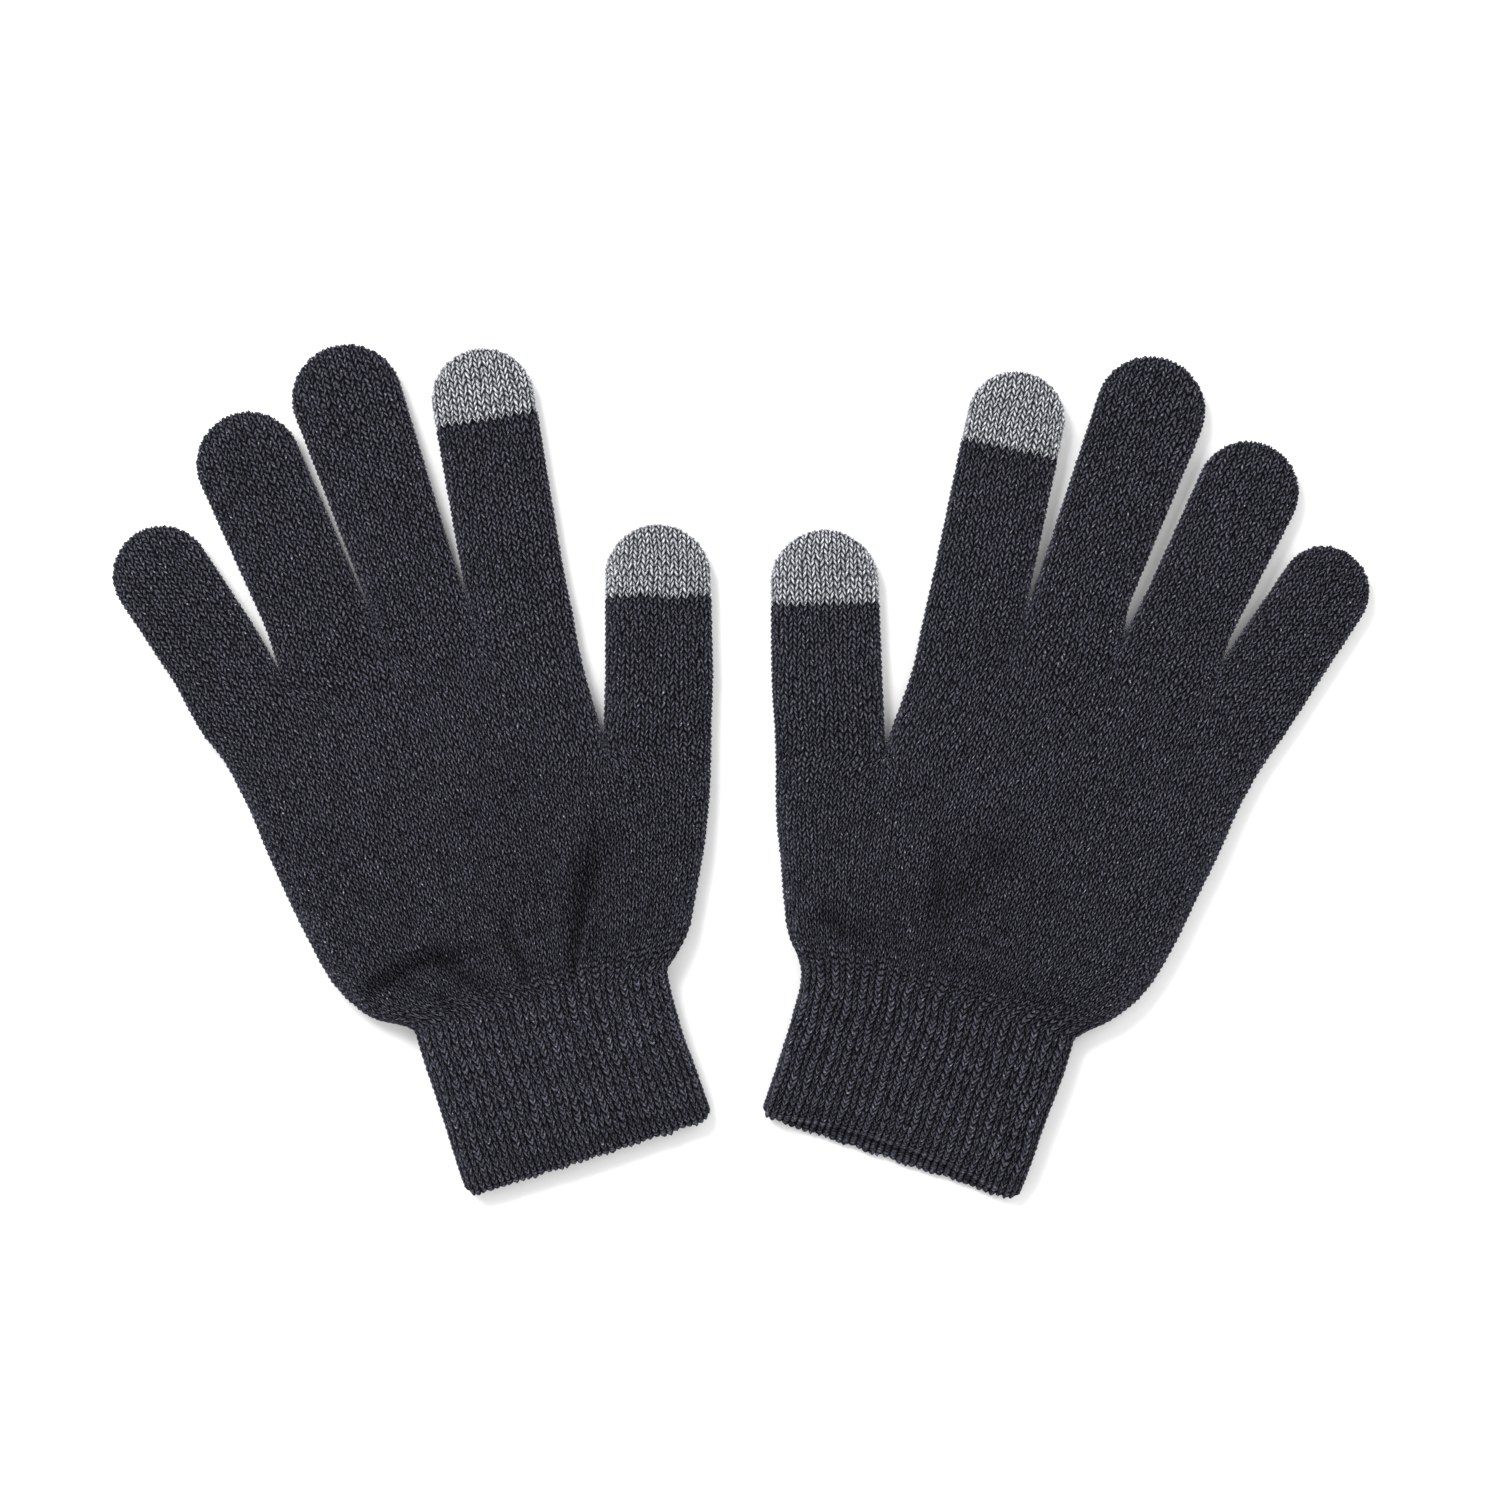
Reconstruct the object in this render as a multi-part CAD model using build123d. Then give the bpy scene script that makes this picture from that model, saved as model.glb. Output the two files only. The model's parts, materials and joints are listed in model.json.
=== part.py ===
from build123d import *
import os
from math import cos, sin, tan, radians

# A pair of flat-knitted gloves lying side by side on a table, fingers towards +Y.
# All lengths are in millimetres. The origin is the middle of the pair's footprint, at table level.
# Each glove is worked in its own frame: origin in the middle of the wrist line, +Y up the hand,
# and "out" counted from that line towards the thumb.

# knitted tubes, lying flat but open inside
FINGER_THICK = 9.0
PALM_THICK = 11.5
CUFF_THICK = 11.0
KNIT_WALL = 1.6
PALM_WALL = 1.7
CUFF_WALL = 2.0

# where one stiff length of knit ends and the next begins, at a fold
FOLD_GAP = 0.3

# cuff
CUFF_LENGTH = 42.0
HEM_LENGTH = 2.4
ELASTIC_DIAMETER = 0.8
ELASTIC_PITCH = 5.0
ELASTIC_TURNS = 6

# how far each finger tube reaches down inside the outline of the hand
STUB_LENGTH = 20.0
THUMB_STUB_LENGTH = 18.0


class Finger:
    """One finger tube: the middle of its root, its lean towards the thumb, its lengths and widths.

    Lengths are counted from the root, square to the fold line. The fold line of a finger runs
    straight across the hand; that of the thumb runs square across the thumb.
    """

    def __init__(self, name, out, up, lean, middle, tip, root_width, tip_width, touch=None):
        self.name, self.out, self.up, self.lean = name, out, up, lean
        self.middle, self.tip, self.touch = middle, tip, touch
        self.root_width, self.tip_width = root_width, tip_width
        self.fold_lean = lean if name == "thumb" else 0.0

    def axial(self, length):
        """Turn a length square to the fold line into one along the finger."""
        return length / cos(radians(self.lean - self.fold_lean))


class Glove:
    """One glove: where its wrist lies, how far it leans to the side, and its own measures."""

    def __init__(self, name, side, wrist, lean, cuff_widths, edge, fingers):
        self.name, self.side, self.wrist, self.lean = name, side, wrist, lean
        self.wrist_width, self.hem_width = cuff_widths
        self.edge, self.fingers = edge, fingers

    def point(self, out, up, z=0.0):
        """A point of the glove's own frame, in the frame of the pair."""
        turn = radians(self.lean * self.side)
        x = out * self.side
        return (self.wrist[0] + x * cos(turn) - up * sin(turn),
                self.wrist[1] + x * sin(turn) + up * cos(turn), z)

    def placed(self, shape, out=0.0, up=0.0, lean=0.0, z=0.0):
        """Move a shape from its own frame to its place in the pair; lean is towards the thumb."""
        turn = (self.lean - lean) * self.side
        return Location(self.point(out, up, z), (0, 0, turn)) * shape


# Outline of the hand of each glove, from the wrist up the little-finger side, along the finger
# roots and down past the thumb: distance out from the middle line, and distance up from the wrist.
LEFT_EDGE = [(-33.7, -3), (-36, 2), (-48, 14), (-53.5, 33), (-56.5, 56), (-59.5, 78), (-63.5, 93),
             (-62, 99), (-40, 103), (-12, 100), (10, 92), (36, 93), (38.5, 88), (38, 66), (47, 58),
             (62, 46.5), (57.8, 36), (51.5, 22), (45.5, 11), (36, 2), (33.7, -3)]
RIGHT_EDGE = [(-36.7, -3), (-38, 2), (-48.5, 14), (-54, 33), (-58, 56), (-61, 78), (-64.5, 92),
              (-63, 98), (-43, 103), (-17, 101), (7, 92), (32, 93), (34.5, 88), (35.5, 66), (45, 58),
              (59.5, 46.5), (55.6, 36), (50.5, 22), (45.5, 11), (38, 2), (36.7, -3)]

LEFT = Glove(
    "left", 1, (-52.1, -60.0), 17.5, (67.4, 66.0), LEFT_EDGE,
    [Finger("thumb", 52.2, 62.3, 17.0, 22.0, 49.0, 28.2, 28.4, touch=30.8),
     Finger("index", 25.8, 99.0, 7.8, 33.0, 68.6, 26.0, 27.2, touch=50.2),
     Finger("middle", 0.4, 105.0, -1.4, 36.0, 74.6, 23.6, 28.8),
     Finger("ring", -25.9, 108.0, -6.5, 30.0, 62.3, 25.2, 27.2),
     Finger("little", -52.2, 104.0, -16.7, 20.5, 44.0, 24.8, 26.0)])

RIGHT = Glove(
    "right", -1, (52.4, -60.9), 17.5, (73.4, 70.6), RIGHT_EDGE,
    [Finger("thumb", 50.1, 62.5, 18.9, 22.0, 49.0, 28.6, 28.8, touch=30.0),
     Finger("index", 21.6, 99.0, 5.6, 32.0, 65.4, 25.2, 25.9, touch=46.0),
     Finger("middle", -4.1, 105.0, -3.1, 35.5, 73.8, 23.6, 27.6),
     Finger("ring", -30.3, 110.0, -8.5, 27.5, 55.2, 24.8, 26.2),
     Finger("little", -55.2, 104.0, -17.5, 19.5, 40.3, 24.0, 25.0)])

GLOVES = (LEFT, RIGHT)


def soft_edged(face, thick):
    """A flat shape of the given thickness whose rim is rounded above and below."""
    slab = extrude(face, thick)
    flats = slab.faces().filter_by(Axis.Z)
    return fillet(flats.edges(), thick / 2 - 0.4)


def strip_face(finger, start, inset):
    """Plan of a finger tube in the finger's own frame, from start to its rounded tip."""
    end = finger.axial(finger.tip) - inset
    tip_half = finger.tip_width / 2 - inset
    shoulder = end - tip_half
    slope = (finger.tip_width - finger.root_width) / 2 / shoulder
    start_half = tip_half - slope * (shoulder - start)
    left = Line((-start_half, start), (-tip_half, shoulder))
    cap = ThreePointArc((-tip_half, shoulder), (0, end), (tip_half, shoulder))
    right = Line((tip_half, shoulder), (start_half, start))
    foot = Line((start_half, start), (-start_half, start))
    return make_face(Wire([left, cap, right, foot]))


def finger_strip(glove, finger, stub, inset):
    """The outer body of a finger tube, or with an inset its hollow, as one closed solid."""
    face = strip_face(finger, -stub - finger.root_width / 2, inset)
    strip = soft_edged(face, FINGER_THICK - 2 * inset)
    return glove.placed(strip, finger.out, finger.up, finger.lean, inset)


def band(glove, finger, start, end):
    """A block that holds the stretch of a finger between two lines parallel to its fold."""
    width, height = 90.0, 40.0
    middle = (start + end) / 2
    block = Pos(0, middle, 0) * Box(width, end - start, height)
    return glove.placed(block, finger.out, finger.up, finger.fold_lean)


def finger_nodes(glove, finger):
    """The lower and upper lengths of a finger tube, and the touch tip where it has one."""
    tube = (finger_strip(glove, finger, 0.0, 0.0)
            - finger_strip(glove, finger, 0.0, KNIT_WALL))
    beyond = finger.tip + 20.0
    upper_end = finger.touch or beyond
    nodes = {
        "lower": tube & band(glove, finger, FOLD_GAP / 2, finger.middle - FOLD_GAP / 2),
        "upper": tube & band(glove, finger, finger.middle + FOLD_GAP / 2, upper_end)}
    if finger.touch:
        nodes["touch_tip"] = tube & band(glove, finger, finger.touch, beyond)
    return {f"{glove.name}_{finger.name}_{part}": solid for part, solid in nodes.items()}


def hand_slab(glove, inset):
    """The flat body of the hand, or with an inset its hollow."""
    outline = Polyline([(out * glove.side, up) for out, up in glove.edge], close=True)
    face = make_face(outline)
    if inset:
        face = offset(face, -inset, kind=Kind.INTERSECTION)
    slab = soft_edged(face, PALM_THICK - 2 * inset)
    return glove.placed(slab, z=inset)


def above_wrist(glove, start):
    """A block that holds all of a glove beyond a line across the hand."""
    size = 300.0
    return glove.placed(Pos(0, start + size / 2, 0) * Box(size, size, size))


def stub(glove, finger, inset, end):
    """The foot of a finger tube inside the outline of the hand, up to its fold line."""
    length = THUMB_STUB_LENGTH if finger.name == "thumb" else STUB_LENGTH
    strip = finger_strip(glove, finger, length, inset)
    return strip & band(glove, finger, -length, end)


def palm(glove):
    """The hand tube with the feet of the fingers, open at the wrist and into every finger."""
    outer = hand_slab(glove, 0.0) & above_wrist(glove, FOLD_GAP / 2)
    hollow = hand_slab(glove, PALM_WALL)
    for finger in glove.fingers:
        outer += stub(glove, finger, 0.0, -FOLD_GAP / 2)
    for finger in glove.fingers:
        hollow += stub(glove, finger, KNIT_WALL, 1.0)
    return outer - hollow


def cuff_section(width, up, inset):
    """A flattened ring outline standing across the cuff, as a filled face."""
    thick = CUFF_THICK - 2 * inset
    upright = Plane(origin=(0, up, CUFF_THICK / 2), x_dir=(1, 0, 0), z_dir=(0, -1, 0))
    return upright * SlotOverall(width - 2 * inset, thick)


def cuff_width(glove, up):
    """Width of the cuff at a distance below the wrist line (up is negative there)."""
    return glove.wrist_width + (glove.hem_width - glove.wrist_width) * -up / CUFF_LENGTH


def cuff_tube(glove, top, bottom):
    """A length of the cuff, open at both ends."""
    def length_of(inset, extra):
        ends = [cuff_section(cuff_width(glove, up), up, inset) for up in (top + extra, bottom - extra)]
        return loft(Sketch() + ends)
    return glove.placed(length_of(0.0, 0.0) - length_of(CUFF_WALL, 0.5))


def elastic_turn(width, up, next_up):
    """One turn of the elastic yarn: across the back, round the edge, and over to the next course."""
    radius = CUFF_THICK / 2 - CUFF_WALL - ELASTIC_DIAMETER
    middle = CUFF_THICK / 2
    half = width / 2 - CUFF_THICK / 2
    low, high = middle - radius, middle + radius
    back = Line((half, up, low), (-half, up, low))
    near_bend = ThreePointArc((-half, up, low), (-half - radius, up, middle), (-half, up, high))
    front = Line((-half, up, high), (half, next_up, high))
    far_bend = ThreePointArc((half, next_up, high), (half + radius, next_up, middle),
                             (half, next_up, low))
    return [back, near_bend, front, far_bend]


def cuff_elastic(glove):
    """The elastic yarn laid round and round inside the rib, one continuous length."""
    width = min(glove.wrist_width, glove.hem_width)
    edges = []
    for turn in range(ELASTIC_TURNS):
        up = -ELASTIC_PITCH * (turn + 1)
        edges += elastic_turn(width, up, up - ELASTIC_PITCH)
    path = Wire(edges)
    start = Plane(origin=path @ 0, z_dir=path % 0)
    yarn = sweep(start * Circle(ELASTIC_DIAMETER / 2), path=path, transition=Transition.ROUND)
    return glove.placed(yarn)


def glove_nodes(glove):
    """Every separate piece of one glove, by name."""
    hem_top = HEM_LENGTH - CUFF_LENGTH
    nodes = {
        f"{glove.name}_palm": palm(glove),
        f"{glove.name}_cuff": cuff_tube(glove, -FOLD_GAP / 2, hem_top),
        f"{glove.name}_cuff_hem": cuff_tube(glove, hem_top, -CUFF_LENGTH),
        f"{glove.name}_cuff_elastic": cuff_elastic(glove)}
    for finger in glove.fingers:
        nodes.update(finger_nodes(glove, finger))
    return nodes


def main():
    os.makedirs("parts", exist_ok=True)
    for glove in GLOVES:
        for name, solid in glove_nodes(glove).items():
            export_step(solid, f"parts/{name}.step")


if __name__ == "__main__":
    main()
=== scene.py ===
import json
import math
import bpy
import numpy as np
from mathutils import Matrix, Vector


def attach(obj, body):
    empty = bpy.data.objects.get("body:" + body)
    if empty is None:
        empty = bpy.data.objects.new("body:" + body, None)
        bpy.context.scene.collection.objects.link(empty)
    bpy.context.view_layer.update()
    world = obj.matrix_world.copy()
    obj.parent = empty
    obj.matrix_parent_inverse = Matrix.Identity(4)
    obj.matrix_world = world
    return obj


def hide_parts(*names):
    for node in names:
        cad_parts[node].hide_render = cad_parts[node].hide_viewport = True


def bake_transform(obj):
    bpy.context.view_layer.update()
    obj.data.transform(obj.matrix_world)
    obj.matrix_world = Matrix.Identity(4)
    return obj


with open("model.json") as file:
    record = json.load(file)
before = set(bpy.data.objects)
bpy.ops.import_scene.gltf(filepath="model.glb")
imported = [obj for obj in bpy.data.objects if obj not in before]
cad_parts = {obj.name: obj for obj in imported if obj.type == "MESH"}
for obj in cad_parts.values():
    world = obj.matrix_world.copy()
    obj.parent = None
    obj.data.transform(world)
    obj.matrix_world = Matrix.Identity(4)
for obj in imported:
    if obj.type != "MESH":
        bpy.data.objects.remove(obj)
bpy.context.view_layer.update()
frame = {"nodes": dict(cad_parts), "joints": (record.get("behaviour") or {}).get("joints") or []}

MM = 0.001

# ---- Knitting ----
# Lengths are in millimetres, in each glove's own frame: origin in the middle of the wrist line,
# "out" towards the thumb, "up" towards the fingers. A wale is one column of stitches and a course
# one row. Every stitch is a V that opens towards the tips.
COURSE = 1.45  # of the fingers
V_RISE = 1.2  # of the legs of a stitch, in courses
RELIEF = 0.8  # of the yarn above the grooves between stitches
WALE_STEPS, COURSE_STEPS = 8, 4  # of the mesh, to a wale and to a course
WALES = {"little": 13, "ring": 13, "middle": 13, "index": 13, "thumb": 14}
STRIPS = tuple(WALES)
WALES_BEFORE = {strip: sum(list(WALES.values())[:k]) for k, strip in enumerate(STRIPS)}
ALL_WALES = sum(WALES.values())
HAND_COURSES, THUMB_COURSES = 62, 42
TOP_COURSE = {strip: THUMB_COURSES if strip == "thumb" else HAND_COURSES for strip in STRIPS}
CUFF_WALES, CUFF_COURSES, HEM_COURSES = 40, 28, 2
START_COURSE = -0.5  # of the hand, just inside the cuff
RIB_COURSES = 7.0  # that the rib takes to run out into the hand
ROOT_COURSES = 14.0  # of a finger, over which its slanting root evens out

# How uneven the knitting is, in courses along and in wales aside: slow sways, and each stitch.
SWAY, SWAY_ASIDE, STITCH_SLIP, STITCH_SLIP_ASIDE = 0.12, 0.09, 0.34, 0.22
RIB_SWAY, RIB_SWAY_ASIDE, RIB_SLIP, RIB_SLIP_ASIDE = 0.12, 0.10, 0.36, 0.17

# Half the thickness of the flattened tubes, as far as the crowns of the stitches.
FINGER_HALF, HAND_HALF, CUFF_HALF = 3.95, 4.9, 5.2
YARN_DEPTH = RELIEF * 0.85
LINING_DEPTH = 1.5
MOUTH_SAG = 1.7  # how much flatter the mouth of the cuff lies
CLEAR, LOWEST = 0.08, 0.03  # above the table, of the tubes and of any point

# Courses over which the hand fills out from the cuff, thins to a finger and creases between fingers.
FILL_COURSES, THIN_COURSES = 14.0, 22.0
CREASE_COURSES, THUMB_CREASE_COURSES = 7.0, 5.0

# Lengths before and after the folds at a root and at a middle, which set where a finger's lower piece gives
# way to its upper one, and lengths along the cuff.
FINGER_BENDS, THUMB_BENDS = ((6.0, 8.0), (7.0, 7.5)), ((5.0, 6.0), (7.0, 6.5))
CUFF_BEND, CUFF_BEND_HEIGHT = (1.5, 15.0), 11.5

ELASTIC_RADIUS, ELASTIC_BEND, ELASTIC_HEIGHT = 0.4, 2.7, 5.5
ELASTIC_PITCH, ELASTIC_TURNS, ELASTIC_TWIST = 5.0, 6, 1.6
ELASTIC_RUN_STEPS, ELASTIC_BEND_STEPS, ELASTIC_SIDES = 140, 20, 8
FIBRE_SHARE, HEM_FIBRE_SHARE = 0.004, 0.002  # of the mesh points, with a stray fibre
HEM_ROWS, HEM_SIDE = 43, 0.38  # of the mesh over the edge, and the share of the way before its turn
HEM_CORNER, HEM_UNEVEN, HEM_BAKE_ROWS = 3.4, 0.17, 5.0

# Outlines of the two hands as they lie: little-finger side, index side above the thumb and the
# hidden line that carries it down to the wrist, thumb side, and the ends of the finger roots.
# The sides of the cuff run from 0 at the wrist to 1 at the hem. tilt and hem_tilt slope the wrist
# and the hem, hem_drop lengthens the cuff, open_mouth shows its inside, rib_depth sinks its furrows.
HANDS = {
    "left": {
        "little_side": [(-33.8, 0), (-35.2, 1.5), (-41.8, 5.4), (-47.2, 12.6), (-50.3, 20), (-53.1, 32.9),
                        (-54.9, 44.5), (-56.3, 55.9), (-58.1, 73), (-61.1, 87), (-63.2, 92)],
        "index_side": [(19.4, 0), (27, 14), (31.5, 30), (34.6, 48), (35.6, 57.2), (36.0, 70.7),
                       (36.4, 81.6), (37.3, 90)],
        "thumb_side": [(33.7, 0), (36.4, 2.2), (40.6, 6.0), (46.5, 14.4), (51.6, 23.6), (57.7, 37.4),
                       (63.0, 52.4)],
        "roots": [(-63.2, 92), (-39.0, 98), (-11.6, 98), (12.1, 94), (37.3, 90)],
        # fit of each finger: shift towards the thumb at root and tip, extra half width at root and tip
        "trims": {"thumb": (0.15, 0.0, 0.0, -0.4), "index": (-0.6, -0.6, 0.0, -0.15),
                  "middle": (-0.05, -0.15, 0.2, 0.0), "ring": (0.25, 0.45, 0.45, 0.05),
                  "little": (-0.25, 0.3, 0.15, -0.2)},
        "cuff_little": [(-33.8, 0), (-33.9, 0.15), (-33.7, 0.5), (-33.8, 1.0)],
        "cuff_thumb": [(33.7, 0), (33.1, 0.12), (32.6, 0.4), (33.0, 0.72), (33.4, 1.0)],
        "tilt": -0.062, "hem_tilt": 0.006, "hem_drop": 1.3, "open_mouth": 0.0, "rib_depth": 0.08,
        # both ends of each fold, its half width and its drop at each end, and its bow; the drop also sets
        # how dark the painted shade along the fold is
        "folds": [((8.2, -1.0), (32.5, 45.0), (0.9, 5.2), (0.85, 1.25), 0.05),
                  ((-2.2, 3.0), (-3.0, 31.0), (1.4, 2.0), (0.80, 0.70), 0.02),
                  ((-46.0, 15.0), (-5.0, 16.5), (2.8, 2.2), (0.75, 1.05), 0.10),
                  ((-34.5, 17.0), (-19.5, 1.0), (1.6, 1.3), (0.50, 0.50), 0.05),
                  ((-22.5, 19.5), (-11.0, 2.0), (2.6, 1.8), (0.95, 0.80), 0.08),
                  ((13.5, 1.5), (22.0, 18.0), (1.1, 1.5), (0.50, 0.40), 0.03)],
    },
    "right": {
        "little_side": [(-36.7, 0), (-38.2, 1.6), (-44.0, 7.2), (-48.6, 14.4), (-51.4, 21.2),
                        (-54.3, 33.8), (-56.1, 46), (-57.9, 57.6), (-60, 74.7), (-62.8, 86.6),
                        (-64.6, 92)],
        "index_side": [(21.1, 0), (26, 14), (29.8, 30), (32.4, 48), (33.0, 57.2), (32.4, 72.8),
                       (32.3, 83.9), (33.0, 90)],
        "thumb_side": [(36.8, 0), (38.4, 2.4), (41.8, 6.2), (46.8, 15.2), (50.7, 24.4), (54.6, 33.6),
                       (57.8, 43), (60.4, 51.1)],
        "roots": [(-64.6, 92), (-43.0, 101), (-17.3, 100), (8.8, 95), (33.0, 90)],
        "trims": {"thumb": (0.0, 0.0, 0.2, -0.3), "index": (-0.3, -0.3, 0.0, -0.15),
                  "middle": (0.55, 0.8, 0.05, 0.5), "ring": (-0.9, -0.75, -0.35, 0.15),
                  "little": (-0.6, 0.2, -0.1, -0.75)},
        "cuff_little": [(-36.7, 0), (-36.8, 0.25), (-36.1, 0.5), (-35.8, 0.75), (-35.5, 1.0)],
        "cuff_thumb": [(36.8, 0), (35.6, 0.12), (35.3, 0.3), (35.1, 0.6), (35.4, 1.0)],
        "tilt": -0.0545, "hem_tilt": 0.016, "hem_drop": 0.8, "open_mouth": 4.3, "rib_depth": 0.30,
        "folds": [((-7.0, 48.0), (10.0, 12.0), (5.5, 4.5), (0.60, 0.60), 0.0),
                  ((15.0, 48.0), (7.0, 10.0), (3.0, 2.2), (0.45, 0.65), 0.06),
                  ((39.0, 15.0), (18.0, 9.5), (3.4, 2.8), (0.75, 0.50), 0.0),
                  ((-42.0, 8.0), (32.0, 11.0), (2.2, 2.2), (0.50, 0.50), 0.0)],
    },
}


def random_picks(seed):
    """A table of random numbers from 0 to 1, from which every stitch picks its own."""
    return np.random.default_rng(seed).random(4096)


def smooth(t):
    """0 to 1 for t from 0 to 1, level at both ends."""
    t = np.clip(t, 0.0, 1.0)
    return t * t * (3.0 - 2.0 * t)


# Rounded side of a flattened tube: a quarter of an ellipse twice as wide as it is high, walked by
# length. For a walk q (in units of its width) it gives the way in from the side and the height.
_turn = np.linspace(0.0, math.pi / 2, 1500)
_in, _high = 1.0 - np.cos(_turn), np.sin(_turn)
_walk = np.concatenate([[0.0], np.cumsum(np.hypot(np.diff(_in), 0.5 * np.diff(_high)))])
QUARTER = _walk[-1]
SPARE = QUARTER - 1.0


def way_in(q):
    """How far in from the side a point of the cloth lies, after a walk q from the side."""
    return np.where(q < QUARTER, np.interp(q, _walk, _in), 1.0 + q - QUARTER)


def height(q):
    return np.interp(q, _walk, _high)


def across(xi, width, radius, left, right):
    """Place and height across a strip, for xi from 0 to 1, with rounded sides of given weights."""
    cloth = width + (left + right) * radius * SPARE
    walk = xi * cloth
    lost_left = walk - radius * way_in(walk / radius)
    back = cloth - walk
    lost_right = radius * SPARE - np.clip(back - radius * way_in(back / radius), 0, None)
    place = walk - left * lost_left - right * lost_right
    rise_left = 1.0 - left * (1.0 - height(walk / radius))
    rise_right = 1.0 - right * (1.0 - height(back / radius))
    return np.clip(place / width, 0.0, 1.0), rise_left * rise_right


def curve(points):
    """A smooth line through points, as out for a given up."""
    outs, ups = np.array(points, float).T
    slope = np.gradient(outs, ups)

    def at(up):
        up = np.clip(up, ups[0], ups[-1])
        k = np.clip(np.searchsorted(ups, up, side="right") - 1, 0, len(ups) - 2)
        span = ups[k + 1] - ups[k]
        t = (up - ups[k]) / span
        a, b = outs[k], outs[k + 1]
        ma, mb = slope[k] * span, slope[k + 1] * span
        t2, t3 = t * t, t * t * t
        return ((2 * t3 - 3 * t2 + 1) * a + (t3 - 2 * t2 + t) * ma
                + (3 * t2 - 2 * t3) * b + (t3 - t2) * mb)
    return at


class Noise:
    """Smooth random waves over the cloth, the same each run."""

    def __init__(self, seed, scale, count=14):
        rng = np.random.default_rng(seed)
        angle = rng.uniform(0, 2 * math.pi, count)
        reach = rng.uniform(0.6, 1.6, count) / scale
        self.wave = np.stack([np.cos(angle) * reach, np.sin(angle) * reach]) * 2 * math.pi
        self.phase = rng.uniform(0, 2 * math.pi, count)
        self.gain = math.sqrt(2.0 / count)

    def __call__(self, x, y):
        total = 0.0
        for wx, wy, ph in zip(*self.wave, self.phase):
            total = total + np.sin(x * wx + y * wy + ph)
        return total * self.gain


# ---- One glove, read from the frame ----
JOINTS = {joint["name"]: joint for joint in frame["joints"]}


class Finger:
    """One finger tube: where it starts, its own directions, and its measures along and across."""

    def __init__(self, glove, name, root_ends):
        key = f"{glove.name}_{name}"
        self.root = glove.local(JOINTS[f"{key}_root_fold"]["pos_m"])
        middle = glove.local(JOINTS[f"{key}_middle_fold"]["pos_m"])
        self.along = (middle - self.root) / np.linalg.norm(middle - self.root)
        self.out = np.array([self.along[1], -self.along[0]])
        last = f"{key}_touch_tip" if f"{key}_touch_tip" in frame["nodes"] else f"{key}_upper"
        lower = self.walk(glove.node_points(f"{key}_lower"))
        end = self.walk(glove.node_points(last))
        self.tip = end[:, 1].max() + 0.3
        self.half_tip = np.abs(end[:, 0]).max() - 0.4
        near = lower[lower[:, 1] < lower[:, 1].min() + 9.0]
        *self.shift, more_root, more_tip = glove.trims[name]
        self.half_root = np.abs(near[:, 0]).max() - 0.3 + more_root
        self.half_tip += more_tip
        self.touch = None
        if last.endswith("tip"):
            lean = 0.0 if name == "thumb" else abs(self.along[0] / self.along[1])
            self.touch = end[:, 1].min() + self.half_tip * lean
        self.middle = self.walk(middle)[1]
        self.radius = 2.0 * FINGER_HALF
        self.left_start, self.right_start = self.walk(np.array(root_ends))
        self.start = (self.left_start[1] + self.right_start[1]) / 2
        self.shoulder = self.tip - self.half_tip
        self.cloth_tip = self.tip + self.radius * SPARE
        self.courses = int(round((self.cloth_tip - self.start) / COURSE))

    def walk(self, points):
        """Sideways and along coordinates of points of the glove's frame."""
        away = points - self.root
        return np.stack([away @ self.out, away @ self.along], axis=-1)

    def half(self, along):
        share = np.clip(along / self.shoulder, -0.2, 1.0)
        return self.half_root + (self.half_tip - self.half_root) * share

    def course_at(self, along):
        """The course that lies at a distance along the finger from its fold."""
        return (along - self.start) / (self.cloth_tip - self.start) * self.courses

    def surface(self, xi, course):
        """Out, up and height share of the cloth at xi across and a course counted from the root."""
        along = self.start + course * (self.cloth_tip - self.start) / self.courses
        fade = smooth(1.0 - course / ROOT_COURSES)
        half = self.half(along)
        first = self.half(self.start)
        low = -half + (self.left_start[0] + first) * fade
        high = half + (self.right_start[0] - first) * fade
        place, rise = across(xi, high - low, self.radius, 1.0, 1.0)
        side = low + (high - low) * place
        slant = self.left_start[1] + (self.right_start[1] - self.left_start[1]) * place - self.start
        ahead = along + slant * fade
        # the rounded tip: the same walk, but towards the rim of a half circle
        reach = self.half_tip + self.radius * SPARE
        a, b = (2.0 * xi - 1.0) * reach, np.maximum(along - self.shoulder, 0.0)
        far = np.maximum(np.hypot(a, b), 1e-9)
        outside = far > reach - 1e-6
        inner = reach - np.minimum(far, reach)
        radial = self.half_tip - self.radius * way_in(inner / self.radius)
        in_tip = along > self.shoulder
        side = np.where(in_tip, a / far * radial, side)
        ahead = np.where(in_tip, self.shoulder + b / far * radial, ahead)
        rise = np.where(in_tip, height(inner / self.radius), rise)
        side = side + np.interp(ahead / self.tip, (0.0, 1.0), self.shift) * (1.0 - fade)
        points = self.root + side[..., None] * self.out + ahead[..., None] * self.along
        return points[..., 0], points[..., 1], rise, outside & in_tip


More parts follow.
